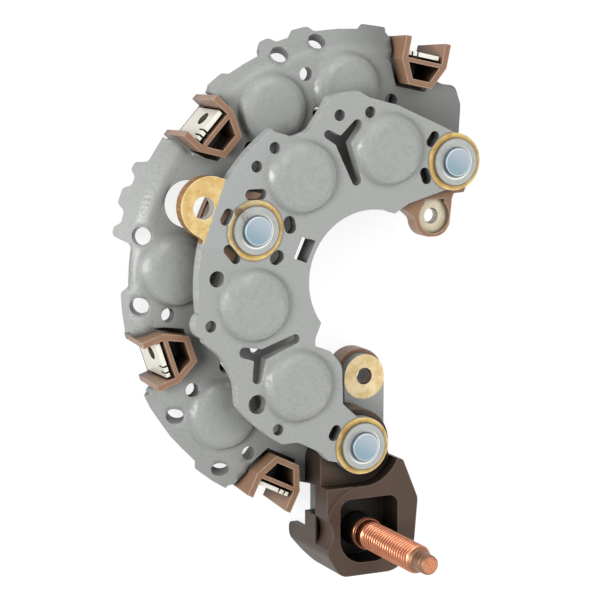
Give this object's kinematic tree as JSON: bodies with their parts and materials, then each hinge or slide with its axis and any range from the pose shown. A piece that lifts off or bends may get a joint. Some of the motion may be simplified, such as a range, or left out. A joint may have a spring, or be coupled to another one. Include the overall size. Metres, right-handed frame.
{
  "type": "alternator rectifier",
  "caption": "C-shaped alternator rectifier: stacked grey stamped heat-sink fins with pressed diode pockets, brown moulded lead guides and a copper-plated output stud in a moulded insulator.",
  "frame": {"origin": "on the alternator's shaft axis, in the plane of the lead guides' back ends", "axes": "+Z along the shaft axis and the output stud, out of the front fin's face; +Y away from the output stud; +X towards the open side of the C"},
  "size_m": [0.0779, 0.1145, 0.045],
  "materials": {
    "fin_paint": "satin",
    "phenolic": "matt",
    "insulator_plastic": "matt",
    "zinc_steel": "zinc plated",
    "washer_steel": "satin",
    "copper": "copper plated",
    "tinned": "tinned",
    "diode_body": "nickel over copper"
  },
  "bodies": {
    "root": {"front_diode_1": "diode_body", "front_diode_2": "diode_body", "front_diode_3": "diode_body", "front_diode_4": "diode_body", "front_fin": "fin_paint", "lug_nut": "zinc_steel", "output_stud": "copper", "rear_diode_1": "diode_body", "rear_diode_2": "diode_body", "rear_diode_3": "diode_body", "rear_diode_4": "diode_body", "rear_fin": "fin_paint", "ring_terminal": "tinned", "rivet_1": "zinc_steel", "rivet_2": "zinc_steel", "rivet_3": "zinc_steel", "spacer_bush": "phenolic", "stud_insulator": "insulator_plastic", "terminal_block": "phenolic", "terminal_spacer": "phenolic", "terminal_tab_1": "tinned", "terminal_tab_2": "tinned", "terminal_tab_3": "tinned", "terminal_tab_4": "tinned", "washer_1": "washer_steel", "washer_2": "washer_steel", "washer_3": "washer_steel"}
  },
  "joints": []
}
